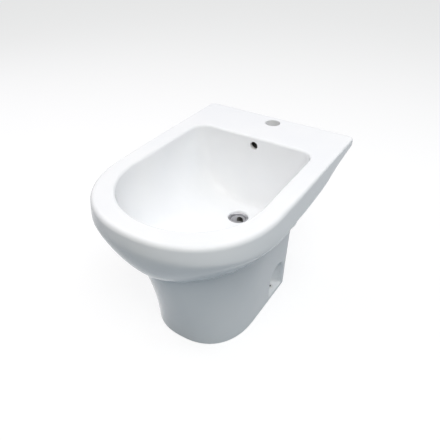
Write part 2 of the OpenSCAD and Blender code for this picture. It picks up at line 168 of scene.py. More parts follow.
# ------------------------------------------------ places
NOSE_Y = -BODY_LENGTH / 2
REAR_Y = BODY_LENGTH / 2
HALF_WIDTH = BODY_WIDTH / 2
FLANK_Y = NOSE_Y + NOSE_LENGTH  # where the flanks begin
TOP_Z = BODY_HEIGHT
DECK_UNDER_Z = TOP_Z - DECK_THICKNESS

BOWL_HW = HALF_WIDTH - RIM_WIDTH - RIM_INNER_R / 2
BOWL_FRONT = NOSE_Y + NOSE_RIM_WIDTH + RIM_INNER_R / 2
BOWL_BACK = REAR_Y - DECK_DEPTH - RIM_INNER_R / 2
BOWL_TOP_Z = TOP_Z - RIM_INNER_R
BOWL_NOSE = FLANK_Y - BOWL_FRONT
WASTE_Y = BOWL_BACK - WASTE_INSET
WASTE_Z = TOP_Z - BOWL_DEPTH

HULL_BACK = BOWL_BACK + DUCT_DEPTH + 1.5 * WALL
NECK_HW = NECK_WIDTH / 2
NECK_FRONT = NOSE_Y + NECK_SETBACK
NECK_BACK = REAR_Y - REAR_SETBACK
NECK_FLANK = NECK_FRONT + (NECK_BACK - NECK_FRONT) * NECK_FLANK_SHARE
FOOT_HW = FOOT_WIDTH / 2
FOOT_FRONT = NOSE_Y + FOOT_SETBACK
FOOT_BACK = NECK_BACK - 1
FOOT_FLANK = FOOT_FRONT + (FOOT_BACK - FOOT_FRONT) * FOOT_FLANK_SHARE

TAP_Y = REAR_Y - TAP_HOLE_INSET
OVERFLOW_Z = TOP_Z - OVERFLOW_DROP
DUCT_Y = BOWL_BACK + WALL - 1   # front face of the upright duct
DUCT_TOP_Z = OVERFLOW_Z + OVERFLOW_D / 2 + 1

OUTLET_BORE_R = BARREL_D / 2 + 0.8
OUTLET_BOSS_R = OUTLET_BORE_R + OUTLET_WALL
OUTLET_BOTTOM_Z = WASTE_Z - OUTLET_THICKNESS
FLANGE_Z = WASTE_Z - FLANGE_RECESS
SEAT_R = FLANGE_D / 2 + 0.5
SEAT_BOTTOM_Z = FLANGE_Z - SEAT_DEPTH
SLOT_Z = WASTE_Z - SLOT_DROP - SLOT_HEIGHT / 2
SLOT_BOTTOM_Z = SLOT_Z - SLOT_HEIGHT / 2
THREAD_LOW_Z = WASTE_Z - BARREL_LENGTH + 1
THREAD_TOP_Z = SLOT_BOTTOM_Z - 4

FIXING_X = FIXING_SPACING / 2
FIXING_Y = FOOT_BACK - NICHE_INSET
NICHE_X = FOOT_HW + 2
NICHE_Y = FIXING_Y - NICHE_LEAD
DOME_Z = NICHE_H - NICHE_R      # centre of the niche's round top

# ------------------------------------------------ how finely the casting's skin is divided
NOSE_STEPS = 44                 # points of a half outline round the nose,
FLANK_STEPS = 26                # along the flank,
CORNER_STEPS = 8                # round the rear corner
BACK_STEPS = 12                 # and across half of the back
HALF_COUNT = NOSE_STEPS + FLANK_STEPS + CORNER_STEPS + BACK_STEPS
RING_COUNT = 2 * HALF_COUNT
EDGE_RINGS = 9                  # round each edge of the rim
APRON_RINGS = 22
APRON_START = 4                 # degrees, just under the band's last ring
SHOULDER_EASE = 6               # passes that round the shoulder between the band and the apron
# Rings lie closer together where the skin turns more
BOWL_ANGLES = (89.6, 89, 88, 86.5, 84.5, 82, 79, 76, 73, 70, 66.5, 63, 59, 55, 51, 47, 43, 39,
               35, 31, 27, 23, 19, 15, 11, 7.5, 4.5, 2)
TOP_SHARES = (0.2, 0.4, 0.6, 0.8)
BAND_SHARES = (0.15, 0.3, 0.45, 0.6, 0.75, 0.9, 1)
PEDESTAL_SHARES = (1, 0.985, 0.96, 0.93, 0.89, 0.84, 0.78, 0.72, 0.65, 0.58, 0.51, 0.44,
                   0.37, 0.3, 0.23, 0.16, 0.1, 0.05, 0.018)
FOOT_EDGE = ((0.5, 0.9), (2, 0))            # (inset, height) where the foot's outer edge is rounded off
FOOT_RIM_SHARE = 0.06           # share of its height up to which the foot's rim is thick
# Inside the pedestal: up its wall, and then in towards the middle of the bowl's underside
HOLLOW_SHARES = (0.14, 0.27, 0.4, 0.53, 0.65, 0.76, 0.86, 0.94)
UNDER_SHARES = (1, 0.96, 0.9, 0.82, 0.73, 0.64, 0.55, 0.46, 0.37, 0.28, 0.19, 0.11, 0.05)


# ------------------------------------------------ small functions
def sind(a):
    return math.sin(math.radians(a))


def cosd(a):
    return math.cos(math.radians(a))


def clamp(v):
    return max(0.0, min(1.0, v))


def smooth(v):
    v = clamp(v)
    return v * v * (3 - 2 * v)


def mix(a, b, f):
    return a + (b - a) * f


def spread(low, high, n):
    """n even steps from low to high."""
    return [mix(low, high, i / (n - 1)) for i in range(n)]


def arc(x, y, r, angles):
    """Points round (x, y) at these angles, in degrees from the first axis towards the second."""
    return [(x + r * cosd(a), y + r * sind(a)) for a in angles]


# ------------------------------------------------ outlines and rings of the casting
def half_outline(hw, front, flank, back, power, r):
    """Half of a D-shaped outline, from the nose round the +X flank to the middle of the back."""
    points = []
    for i in range(NOSE_STEPS):
        a = 90 * i / NOSE_STEPS
        points.append((hw * sind(a) ** (2 / power), flank - (flank - front) * cosd(a) ** (2 / power)))
    points += [(hw, mix(flank, back - r, i / FLANK_STEPS)) for i in range(FLANK_STEPS)]
    points += arc(hw - r, back - r, r, [90 * i / CORNER_STEPS for i in range(CORNER_STEPS)])
    points += [((hw - r) * (1 - i / BACK_STEPS), back) for i in range(BACK_STEPS + 1)]
    return points


def rim_outline(d):
    return half_outline(HALF_WIDTH + d, NOSE_Y - d, FLANK_Y, REAR_Y + d, NOSE_POWER, REAR_CORNER_R + d)


def narrow(x, y):
    """The bowl draws in a little towards the deck."""
    return x * (1 - BOWL_TAPER * clamp((y - FLANK_Y) / (BOWL_BACK - FLANK_Y)))


def mouth_outline(d):
    outline = half_outline(BOWL_HW + d, BOWL_FRONT - d, FLANK_Y, BOWL_BACK + d, MOUTH_POWER,
                           BOWL_CORNER_R + d)
    return [(narrow(x, y), y) for x, y in outline]


def neck_outline(d):
    return half_outline(NECK_HW + d, NECK_FRONT - d, NECK_FLANK, NECK_BACK + d, NECK_POWER,
                        PEDESTAL_CORNER_R + d)


def foot_outline(d):
    return half_outline(FOOT_HW + d, FOOT_FRONT - d, FOOT_FLANK, FOOT_BACK + d, FOOT_POWER,
                        PEDESTAL_CORNER_R + d)


def hull_outline():
    """Lower edge of the apron's hull, which reaches behind the pedestal."""
    return half_outline(NECK_HW + NECK_STEP, NECK_FRONT - NECK_STEP, NECK_FLANK, HULL_BACK, NECK_POWER,
                        2 * WALL)


def flat(outline, z):
    return [(x, y, z) for x, y in outline]


def neck_z(y):
    return NECK_HEIGHT + NECK_RISE * (NECK_BACK - y) / (NECK_BACK - NECK_FRONT)


def floor_z(y):
    """Height of the bowl's floor along its middle, rounded where it turns at the waste."""
    turn_r, lower = 12, 3
    return WASTE_Z + FLOOR_FALL * (math.hypot(y - WASTE_Y, turn_r) - lower)


def bowl_ring(a):
    """Half ring of the bowl at angle a, from 0 at its mouth to 90 at its floor."""
    hw = BOWL_HW * cosd(a) ** (2 / BOWL_POWER)
    front = FLANK_Y - BOWL_NOSE * cosd(a) ** (2 / BOWL_NOSE_POWER)
    back = WASTE_Y + WASTE_INSET * cosd(a) ** (2 / BACK_WALL_POWER)
    r = min(BOWL_CORNER_R, 0.45 * hw)       # near the floor the ring is too narrow for the full radius
    return [(narrow(x, y), y, BOWL_TOP_Z - (BOWL_TOP_Z - floor_z(y)) * sind(a) ** (2 / BOWL_POWER))
            for x, y in half_outline(hw, front, FLANK_Y, back, MOUTH_POWER, r)]


def under_bowl_z(x, y):
    """Height of the bowl's outer face over a point inside the pedestal."""
    across = abs(x) / (BOWL_HW + WALL)
    along = max(0, FLANK_Y - y) / (BOWL_NOSE + WALL)
    out = min(1, math.hypot(across, along))
    return BOWL_TOP_Z - (BOWL_TOP_Z - floor_z(y) + WALL) * (1 - out ** BOWL_POWER) ** (1 / BOWL_POWER)


def nose_share(i):
    """Share of the nose's values at point i of a half outline, from 1 at the tip to 0 at the flank."""
    return cosd(90 * i / NOSE_STEPS) ** NOSE_FOCUS if i < NOSE_STEPS else 0


def rim_edge_ring(a):
    """Half ring of the rim's outer edge at angle a, from 0 on its top to 90 on its side."""
    inset, rear_inset = RIM_EDGE_R * (sind(a) - 1), REAR_EDGE_R * (sind(a) - 1)
    ring = []
    for (fx, fy), (nx, ny), (rx, ry) in zip(rim_outline(inset), rim_outline(inset - NOSE_SWELL),
                                            rim_outline(rear_inset)):
        nose = 1 - smooth((fy - FLANK_Y) / SWELL_RUN)
        rear = smooth((ry - EDGE_START) / EDGE_RUN)
        x, y, z = mix(fx, nx, nose), mix(fy, ny, nose), TOP_Z - RIM_EDGE_R * (1 - cosd(a))
        ring.append((mix(x, rx, rear), mix(y, ry, rear), mix(z, TOP_Z - REAR_EDGE_R * (1 - cosd(a)), rear)))
    return ring


def band_z(i, y):
    """Height of the band's lower edge at point i, which runs up to the deck's underside."""
    drop = mix(APRON_HEIGHT, APRON_NOSE_HEIGHT, nose_share(i))
    rise = clamp((y - REAR_Y + SHOULDER_RUN) / SHOULDER_RUN) ** SHOULDER_POWER
    return mix(TOP_Z - drop, DECK_UNDER_Z, rise)


def band_ring(f):
    """Half ring of the band at fraction f of the way down, where it swells out to the full outline."""
    out = sind(90 * f)
    return [(mix(tx, x, out), mix(ty, y, out), mix(tz, band_z(i, y), f))
            for i, ((tx, ty, tz), (x, y)) in enumerate(zip(rim_edge_ring(90), rim_outline(0)))]


def apron_ring(a):
    """Half ring of the apron's underside at angle a, from 0 at the band to 90 at the neck."""
    ring = []
    for i, ((ux, uy), (lx, ly)) in enumerate(zip(rim_outline(0), hull_outline())):
        power = mix(FLANK_POWER, NOSE_UNDER_POWER, nose_share(i))
        turn = mix(FLANK_TURN, NOSE_TURN, nose_share(i))
        hollow = smooth((uy - HOLLOW_START) / HOLLOW_RUN)
        out = mix(cosd(a) ** (2 / power), 1 - sind(a) ** (2 / HOLLOW_POWER), hollow)
        up = mix(1 - sind(a) ** (2 / turn), cosd(a) ** (2 / HOLLOW_POWER), hollow)
        low = neck_z(min(ly, NECK_BACK))
        ring.append((mix(lx, ux, out), mix(ly, uy, out), mix(low, band_z(i, uy), up)))
    return ring


def pedestal_ring(f, d):
    """Half ring of the pedestal at fraction f of the way up to the neck, with its wall moved in by d."""
    flare = f ** FLARE_POWER
    return [(mix(lx, hx, flare), mix(ly, hy, flare), f * (neck_z(hy) - NECK_STEP))
            for (lx, ly), (hx, hy) in zip(foot_outline(-d), neck_outline(-d))]


def under_ring(f):
    """Half ring on the bowl's underside, drawn in to fraction f of the hollow's outline."""
    ring = []
    for x, y in neck_outline(-WALL):
        x *= f
        if y < FLANK_Y:
            y = mix(FLANK_Y, y, f)
        elif y > WASTE_Y:
            y = mix(WASTE_Y, y, math.sqrt(f))
        ring.append((x, y, under_bowl_z(x, y)))
    return ring


def ease(rings, keep, passes):
    """Rounds the rings into one another from ring keep on, with the last ring held."""
    for _ in range(passes):
        eased = [list(ring) for ring in rings]
        for k in range(keep, len(rings) - 1):
            for i, (p, q, r) in enumerate(zip(rings[k - 1], rings[k], rings[k + 1])):
                eased[k][i] = tuple(0.5 * q[c] + 0.25 * (p[c] + r[c]) for c in range(3))
        rings = eased
    return rings


def casting_rings():
    """Half rings of the closed skin, from the bowl's floor over the rim and round the foot to the bowl's
    underside, and how many of them are glazed."""
    bowl = [bowl_ring(a) for a in BOWL_ANGLES]
    inner = [flat(mouth_outline(RIM_INNER_R * (1 - cosd(a))), BOWL_TOP_Z + RIM_INNER_R * sind(a))
             for a in spread(0, 90, EDGE_RINGS)]
    outer = [rim_edge_ring(a) for a in spread(0, 90, EDGE_RINGS)]
    outer += [band_ring(f) for f in BAND_SHARES]
    outer += [apron_ring(a) for a in spread(APRON_START, 90, APRON_RINGS)]
    outer = ease(outer, EDGE_RINGS, SHOULDER_EASE)
    top = [[tuple(mix(p[c], q[c], f) for c in range(3)) for p, q in zip(inner[-1], outer[0])]
           for f in TOP_SHARES]
    stem = [pedestal_ring(f, 0) for f in PEDESTAL_SHARES]
    foot = [flat(foot_outline(-inset), z) for inset, z in FOOT_EDGE]
    glazed = bowl + inner + top + outer + stem + foot
    raw = [flat(foot_outline(-FOOT_RIM / 2), 0), flat(foot_outline(-FOOT_RIM), 0),
           pedestal_ring(FOOT_RIM_SHARE, FOOT_RIM)]
    raw += [pedestal_ring(f, WALL) for f in HOLLOW_SHARES]
    raw += [under_ring(f) for f in UNDER_SHARES]
    return glazed + raw, len(glazed)


# ------------------------------------------------ meshes
def mesh_object(name, verts, faces):
    mesh = bpy.data.meshes.new(name)
    mesh.from_pydata([tuple(c * MM for c in v) for v in verts], [], faces)
    mesh.validate()
    obj = bpy.data.objects.new(name, mesh)
    scene.collection.objects.link(obj)
    return obj


def cap(first):
    """Faces across the ring whose points start at number first: strips from flank to flank, and a fan at its
    back, where the outline is straight."""
    last = HALF_COUNT - BACK_STEPS - 1
    faces = [(0, 1, RING_COUNT - 1)]
    faces += [(i, i + 1, RING_COUNT - i - 1, RING_COUNT - i) for i in range(1, last)]
    faces += [(last, k, k + 1) for k in range(last + 1, RING_COUNT - last)]
    return [tuple(first + i for i in face) for face in faces]


def casting():
    """The closed skin. Its faces have material 0 where it is glazed and 1 where it is bare."""
    halves, glazed = casting_rings()
    verts = []
    for half in halves:
        verts += list(half) + [(-x, y, z) for x, y, z in half[HALF_COUNT - 1:0:-1]]
    faces, finishes = [], []
    for k in range(len(halves) - 1):
        for i in range(RING_COUNT):
            a, b = k * RING_COUNT + i, k * RING_COUNT + (i + 1) % RING_COUNT
            faces.append((a + RING_COUNT, b + RING_COUNT, b, a))
            finishes.append(0 if k + 1 < glazed else 1)
    floor_cap = cap(0)
    under_cap = [face[::-1] for face in cap((len(halves) - 1) * RING_COUNT)]
    obj = mesh_object("china_body", verts, faces + floor_cap + under_cap)
    finishes += [0] * len(floor_cap) + [1] * len(under_cap)
    obj.data.polygons.foreach_set("material_index", finishes)
    return obj


LYING = Matrix.Rotation(math.radians(90), 4, "X")       # turns +Z to -Y


def lathe(name, profile, n, at, phase=0.0, warp=None, turn=Matrix.Identity(4)):
    """Closed solid turned from (radius, height) points, which may start and end on the axis.

    Tools that cut one another's flat faces take different phases, so that no two edges coincide.
    """
    bm = bmesh.new()
    rings = []
    angles = [2 * math.pi * i / n + phase for i in range(n)]
    for r, z in profile:
        if r == 0:
            rings.append([bm.verts.new((0, 0, z))])
        else:
            radii = [warp(r, z, a) if warp else r for a in angles]
            rings.append([bm.verts.new((q * math.cos(a), q * math.sin(a), z)) for q, a in zip(radii, angles)])
    pairs = list(zip(rings, rings[1:]))
    if len(rings[0]) > 1:
        pairs.append((rings[-1], rings[0]))
    for low, high in pairs:
        for i in range(n):
            j = (i + 1) % n
            quad = [low[i % len(low)], low[j % len(low)], high[j % len(high)], high[i % len(high)]]
            quad = [v for k, v in enumerate(quad) if v not in quad[:k]]
            if len(quad) > 2:
                bm.faces.new(quad)
    bmesh.ops.recalc_face_normals(bm, faces=bm.faces)
    bm.transform(Matrix.Scale(MM, 4) @ Matrix.Translation(Vector(at)) @ turn)
    mesh = bpy.data.meshes.new(name)
    bm.to_mesh(mesh)
    bm.free()
    obj = bpy.data.objects.new(name, mesh)
    scene.collection.objects.link(obj)
    return obj


def loft(name, slices):
    """Closed solid through closed outlines of equal count."""
    n = len(slices[0])
    verts = [p for outline in slices for p in outline]
    faces = [tuple(range(n)), tuple(reversed(range(len(verts) - n, len(verts))))]
    for k in range(len(slices) - 1):
        for i in range(n):
            j = (i + 1) % n
            faces.append((k * n + i, (k + 1) * n + i, (k + 1) * n + j, k * n + j))
    obj = mesh_object(name, verts, faces)
    bm = bmesh.new()
    bm.from_mesh(obj.data)
    bmesh.ops.recalc_face_normals(bm, faces=bm.faces)
    bm.to_mesh(obj.data)
    bm.free()
    return obj


def block(name, low, high):
    (x0, y0, z0), (x1, y1, z1) = low, high
    return loft(name, [[(x0, y0, z), (x1, y0, z), (x1, y1, z), (x0, y1, z)] for z in (z0, z1)])


def combine(obj, tool, how):
    """Changes obj by the tool, which is used up."""
    mod = obj.modifiers.new(how, "BOOLEAN")
    mod.operation = how
    mod.solver = "EXACT"
    mod.object = tool
    deps = bpy.context.evaluated_depsgraph_get()
    mesh = bpy.data.meshes.new_from_object(obj.evaluated_get(deps))
    obj.modifiers.clear()
    old = obj.data
    obj.data = mesh
    bpy.data.meshes.remove(old)
    bpy.data.objects.remove(tool)


def add(obj, tool):
    combine(obj, tool, "UNION")


def cut(obj, tool):
    combine(obj, tool, "DIFFERENCE")


def joined(objs):
    """The first object with the meshes of all of them, which don't touch."""
    bm = bmesh.new()
    for obj in objs:
        bm.from_mesh(obj.data)
    bm.to_mesh(objs[0].data)
    bm.free()
    for obj in objs[1:]:
        bpy.data.objects.remove(obj)
    return objs[0]


def paint(obj, finish_at):
    """Gives each face the material number that finish_at has for its middle in millimetres, if it has one."""
    for face in obj.data.polygons:
        number = finish_at(*(c / MM for c in face.center))
        if number is not None:
            face.material_index = number


def bore_finish(x, y, r, top):
    """For paint: material 1 on the wall of an upright bore round (x, y), up to the height top."""
    return lambda fx, fy, fz: 1 if math.hypot(fx - x, fy - y) < r + 0.02 and fz < top else None


def shade_smooth(obj, sharp):
    """Smooth faces, apart from edges over sharp degrees."""
    obj.data.polygons.foreach_set("use_smooth", [True] * len(obj.data.polygons))
    obj.data.set_sharp_from_angle(angle=math.radians(sharp))


# ------------------------------------------------ profiles and arches of the tools
def stub(r, bottom, top, chamfer):
    """Profile of a cylinder with a chamfered lower edge."""
    return [(0, bottom), (r - chamfer, bottom), (r, bottom + chamfer), (r, top), (0, top)]


def drill(r, bottom, face, lip, past, rings=()):
    """Profile of a hole that a rounded lip opens at the face, with extra rings up its wall."""
    wall = [(r, z) for z in (bottom, *rings)]
    wall += [(r + lip * (1 - cosd(a)), face - lip + lip * sind(a)) for a in spread(0, 90, 7)]
    return [(0, bottom)] + wall + [(r + lip + 0.02, face + past), (0, face + past)]


def dome(r):
    """Profile points of a niche's round top with this radius."""
    return arc(0, DOME_Z, r, range(0, 90, 9)) + [(0, DOME_Z + r)]


def niche_profile():
    foot = arc(NICHE_R - LEDGE_R, LEDGE_H + LEDGE_R, LEDGE_R, (-68, -45, -22, 0))
    return [(0, LEDGE_H), (NICHE_R - LEDGE_R, LEDGE_H)] + foot + dome(NICHE_R)


def niche_arch(grow):
    """Outline of a niche in side view, grown outwards and a little downwards."""
    r, bottom = NICHE_R + grow, LEDGE_H - 0.3 * grow
    return [(NICHE_Y - r, bottom), (NICHE_Y + r, bottom)] + arc(NICHE_Y, DOME_Z, r, range(0, 181, 9))


def opening_arch(grow):
    """Outline of the rear opening, grown outwards."""
    hw, top, r = OPENING_WIDTH / 2 + grow, OPENING_HEIGHT + grow, OPENING_R + grow
    corners = arc(hw - r, top - r, r, range(0, 91, 9)) + arc(r - hw, top - r, r, range(90, 181, 9))
    return [(-hw, -PAST), (hw, -PAST)] + corners


def lip_slices(edge, arch, place, start=None):
    """Slices of a tool that cuts an arch with a rounded lip.

    place(u, z, out) puts a point of the arch at the distance out from the wall's face. The tool starts at the
    distance start, if given, and ends well outside the wall.
    """
    depths = [] if start is None else [(start, 0)]
    depths += [(-edge - PAST, 0)]
    depths += [(-edge + edge * sind(a), edge * (1 - cosd(a))) for a in spread(0, 90, 6)]
    depths += [(4 * PAST, edge + 0.02)]
    return [[place(u, z, out) for u, z in arch(grow)] for out, grow in depths]


def flank_x(z):
    """Distance of the pedestal's flank from the middle at the niches."""
    f = clamp(z / (neck_z(NICHE_Y) - NECK_STEP))
    return mix(FOOT_HW, NECK_HW, f ** FLARE_POWER)


def back_y(z):
    """Place of the pedestal's back."""
    return mix(FOOT_BACK, NECK_BACK, clamp(z / NECK_HEIGHT))


# ------------------------------------------------ the casting
def add_outlet_boss(body):
    """The boss round the outlet and the casing of the overflow's channel, both sunk into the bowl's wall."""
    boss = stub(OUTLET_BOSS_R, OUTLET_BOTTOM_Z, WASTE_Z - 4, chamfer=1.5)
    add(body, lathe("boss", boss, 72, at=(0, WASTE_Y, 0)))
    hw = DUCT_WIDTH / 2 + WALL - 2
    add(body, block("casing", (-hw, WASTE_Y, OUTLET_BOTTOM_Z + 2), (hw, HULL_BACK - 1, WASTE_Z - 6)))


def add_tap_collar(body):
    collar = stub(TAP_COLLAR_D / 2, TOP_Z - TAP_COLLAR_H, TOP_Z - 2, chamfer=3)
    add(body, lathe("collar", collar, 64, at=(0, TAP_Y, 0)))


def add_niche_walls(body):
    """The walls round the niches, which stay inside the pedestal's own wall."""
    r, bottom, inside = NICHE_R + WALL - 2.3, 0.4, FOOT_HW - 3
    walls = []
    for side in (-1, 1):
        wall = lathe("niche_wall", [(0, bottom), (r, bottom)] + dome(r), 64, at=(side * NICHE_X, NICHE_Y, 0),
                     phase=0.037)
        x0, x1 = sorted((0, side * inside))
        combine(wall, block("keep", (x0, 0, -PAST), (x1, REAR_Y, NICHE_H + 2 * WALL)), "INTERSECT")
        walls.append(wall)
    add(body, joined(walls))


def cut_tap_hole(body):
    hole = drill(TAP_HOLE_D / 2, TOP_Z - TAP_COLLAR_H - PAST, TOP_Z, TAP_LIP, PAST)
    cut(body, lathe("tap", hole, 96, at=(0, TAP_Y, 0), phase=0.021))


def cut_outlet(body):
    """The outlet's bore, the cone of its seat, and the recess that the bowl's floor rounds down into."""
    bottom, above = OUTLET_BOTTOM_Z - PAST, 7
    profile = [(0, bottom), (OUTLET_BORE_R, bottom), (OUTLET_BORE_R, SEAT_BOTTOM_Z),
               (SEAT_R, FLANGE_Z + 0.2), (SEAT_R + 0.2, FLANGE_Z + 1)]
    profile += [(SEAT_R + out, WASTE_Z + up) for out, up in RECESS_EDGE]
    profile += [(SEAT_R + 3, WASTE_Z + above), (0, WASTE_Z + above)]
    cut(body, lathe("outlet", profile, 96, at=(0, WASTE_Y, 0), phase=0.017))


def cut_overflow(body):
    """The overflow hole, the upright duct behind it and the channel from the duct's foot to the outlet."""
    hole = drill(OVERFLOW_D / 2, 0, WALL, OVERFLOW_LIP, 4 * PAST, rings=(7,))
    cut(body, lathe("overflow", hole, 64, at=(0, BOWL_BACK + WALL, OVERFLOW_Z), turn=LYING))
    cut(body, block("duct", (-DUCT_WIDTH / 2, DUCT_Y, SLOT_BOTTOM_Z),
                    (DUCT_WIDTH / 2, DUCT_Y + DUCT_DEPTH, DUCT_TOP_Z)))
    cut(body, block("channel", (-SLOT_WIDTH / 2, WASTE_Y, SLOT_BOTTOM_Z + APART),
                    (SLOT_WIDTH / 2, DUCT_Y + DUCT_DEPTH / 2, SLOT_Z + SLOT_HEIGHT / 2)))


def cut_rear_opening(body):
    cut(body, loft("rear", lip_slices(OPENING_LIP, opening_arch, lambda x, z, out: (x, back_y(z) + out, z),
                                      start=-4 * WALL)))


def cut_niche(body, side):
    """A niche in the pedestal's flank, with its soft lip and the fixing hole through its ledge."""
    cut(body, lathe("niche", niche_profile(), 72, at=(side * NICHE_X, NICHE_Y, 0), phase=0.023))
    cut(body, loft("lip", lip_slices(NICHE_LIP, niche_arch,
                                     lambda y, z, out: (side * (flank_x(z) + out), y, z))))
    hole = [(0, -PAST), (FIXING_HOLE_D / 2, -PAST), (FIXING_HOLE_D / 2, LEDGE_H + PAST), (0, LEDGE_H + PAST)]
    cut(body, lathe("fixing", hole, 48, at=(side * FIXING_X, FIXING_Y, 0), phase=0.031))


def hole_bisque_and_shade(x, y, z):
    """Material at a point of the casting: 1, the unglazed china, in the tap hole and the overflow, where its
    darker colour also stands in for the shade down these holes; 2, painted shade, in the dark ways inside
    (the duct, the channel and the outlet's bore), which are dark only because little light gets there.
    """
    in_tap_hole = math.hypot(x, y - TAP_Y) < TAP_HOLE_D / 2 + NEAR and z < TOP_Z - TAP_LIP
    in_overflow = math.hypot(x, z - OVERFLOW_Z) < OVERFLOW_D / 2 + NEAR and BOWL_BACK + 3 < y <= DUCT_Y
    in_duct = (abs(x) < DUCT_WIDTH / 2 + NEAR and DUCT_Y - NEAR < y < DUCT_Y + DUCT_DEPTH + NEAR
               and OUTLET_BOTTOM_Z < z < DUCT_TOP_Z + NEAR)
    in_channel = (abs(x) < SLOT_WIDTH / 2 + NEAR and WASTE_Y + OUTLET_BORE_R < y <= DUCT_Y
                  and abs(z - SLOT_Z) < SLOT_HEIGHT / 2 + NEAR)
    in_outlet = (math.hypot(x, y - WASTE_Y) < OUTLET_BORE_R + NEAR
                 and OUTLET_BOTTOM_Z + PAST < z < SEAT_BOTTOM_Z - NEAR)
    if in_tap_hole or in_overflow:
        return 1
    return 2 if in_duct or in_channel or in_outlet else None


def china():
    body = casting()
    add_outlet_boss(body)
    add_tap_collar(body)
    add_niche_walls(body)
    cut_tap_hole(body)
    cut_outlet(body)
    cut_overflow(body)
    cut_rear_opening(body)
    for side in (-1, 1):
        cut_niche(body, side)
    # Unglazed china, partly as painted shade, goes into the tap hole and the overflow, and painted shade into
    # the duct, the channel and the outlet's bore.
    paint(body, hole_bisque_and_shade)
    return body


# ------------------------------------------------ the waste and the small pieces
def thread(r, z, a):
    """Radius of the barrel's helical thread, which fades out at both ends."""
    if r < BARREL_D / 2 - 0.01 or not THREAD_LOW_Z < z < THREAD_TOP_Z:
        return r
    turn = (z / THREAD_PITCH - a / (2 * math.pi)) % 1
    fade = clamp(min(z - THREAD_LOW_Z, THREAD_TOP_Z - z) / THREAD_PITCH)
    return r - THREAD_DEPTH * fade * (1 - abs(2 * turn - 1))


def waste():
    """Chromed waste: dished flange with a rolled edge, threaded barrel, and two arched slots."""
    bore, outer, rim = WATERWAY_D / 2, BARREL_D / 2, FLANGE_D / 2
    bottom = WASTE_Z - BARREL_LENGTH
    rings_per_turn = 5
    rings = int((THREAD_TOP_Z - THREAD_LOW_Z) / (THREAD_PITCH / rings_per_turn)) + 1
    profile = [(bore, bottom), (outer - 1, bottom), (outer - 0.3, bottom + 0.3)]
    profile += [(outer, z) for z in spread(THREAD_LOW_Z, THREAD_TOP_Z, rings)]
    # the flange's cone and its rolled edge
    profile += [(outer, SEAT_BOTTOM_Z + SEAL_T), (rim - 0.4, FLANGE_Z - 0.4), (rim, FLANGE_Z)]
    profile += arc(rim - 1, FLANGE_Z, 1, range(0, 81, 20))
    profile += [(rim - inset, FLANGE_Z + up) for inset, up in ((1.3, 0.96), (1.9, 0.7), (2.4, 0.3))]
    # the dish, hollow and easing into the bore
    profile += [(mix(rim - 2.4, bore, f), FLANGE_Z + 0.3 - 5.2 * f ** 1.7)
                for f in (0.15, 0.3, 0.45, 0.6, 0.75, 0.88, 1)]
    profile += [(bore, FLANGE_Z - 6), (bore, FLANGE_Z - 8)]
    obj = lathe("waste", profile, 96, at=(0, WASTE_Y, 0), warp=thread)
    hw, hh = SLOT_WIDTH / 2, SLOT_HEIGHT / 2
    arch = [(-hw, SLOT_BOTTOM_Z), (hw, SLOT_BOTTOM_Z)]
    arch += [(hw * cosd(a), SLOT_Z + hh * sind(a)) for a in range(0, 181, 12)]
    across, along = cosd(SLOT_TURN), sind(SLOT_TURN)
    reach = outer + 1.1
    cut(obj, loft("slots", [[(x * across - y * along, WASTE_Y + x * along + y * across, z) for x, z in arch]
                            for y in (-reach, reach)]))
    paint(obj, bore_finish(0, WASTE_Y, bore, FLANGE_Z - 2))
    return obj


def flange_seal():
    """Rubber ring in the cone, with a hair's gap all round."""
    inner, gap = BARREL_D / 2 + 0.1, 0.1
    profile = [(inner, SEAT_BOTTOM_Z + 2 * gap), (OUTLET_BORE_R - gap, SEAT_BOTTOM_Z + 2 * gap),
               (SEAT_R - 2 * gap, FLANGE_Z - gap), (FLANGE_D / 2 + gap, FLANGE_Z - gap),
               (inner, SEAT_BOTTOM_Z + SEAL_T - gap)]
    return lathe("seal", profile, 96, at=(0, WASTE_Y, 0))


def fixing_bush(side):
    """Flanged bush, closed at its foot, so that its bore stays dark above a bright floor. The disc that
    closes it and the bore's wall carry painted shade, standing in for the shadow down the hole.
    """
    bore, shank, rim = BUSH_BORE_D / 2, FIXING_HOLE_D / 2 - 0.2, BUSH_FLANGE_D / 2
    foot, sole, top = 1, 1.6, LEDGE_H + BUSH_FLANGE_T
    edge, bevel = 0.5, 0.15
    profile = [(0, foot), (shank, foot), (shank, LEDGE_H), (rim, LEDGE_H),
               (rim, top - edge), (rim - bevel, top - bevel), (rim - edge, top),
               (bore + edge, top), (bore + bevel, top - bevel), (bore, top - edge), (bore, sole), (0, sole)]
    obj = lathe("bush", profile, 48, at=(side * FIXING_X, FIXING_Y, 0))
    # Painted shade on the bore's wall and on the disc that closes its foot.
    paint(obj, bore_finish(side * FIXING_X, FIXING_Y, bore, top - 0.6))
    return obj


# ------------------------------------------------ materials
def noise(tree, vector, scale):
    node = tree.nodes.new("ShaderNodeTexNoise")
    node.inputs["Scale"].default_value = scale
    node.inputs["Detail"].default_value = 3.0
    node.inputs["Roughness"].default_value = 0.5
    tree.links.new(vector, node.inputs["Vector"])
    return node.outputs["Fac"]


def ramp(tree, fac, low, high):
    node = tree.nodes.new("ShaderNodeValToRGB")
    for end, place, colour in zip(node.color_ramp.elements, (0.3, 0.7), (low, high)):
        end.position = place
        end.color = (*colour, 1)
    tree.links.new(fac, node.inputs["Fac"])
    return node.outputs["Color"]


def bump(tree, height, strength, depth):
    node = tree.nodes.new("ShaderNodeBump")
    node.inputs["Strength"].default_value = strength
    node.inputs["Distance"].default_value = depth
    tree.links.new(height, node.inputs["Height"])
    return node.outputs["Normal"]


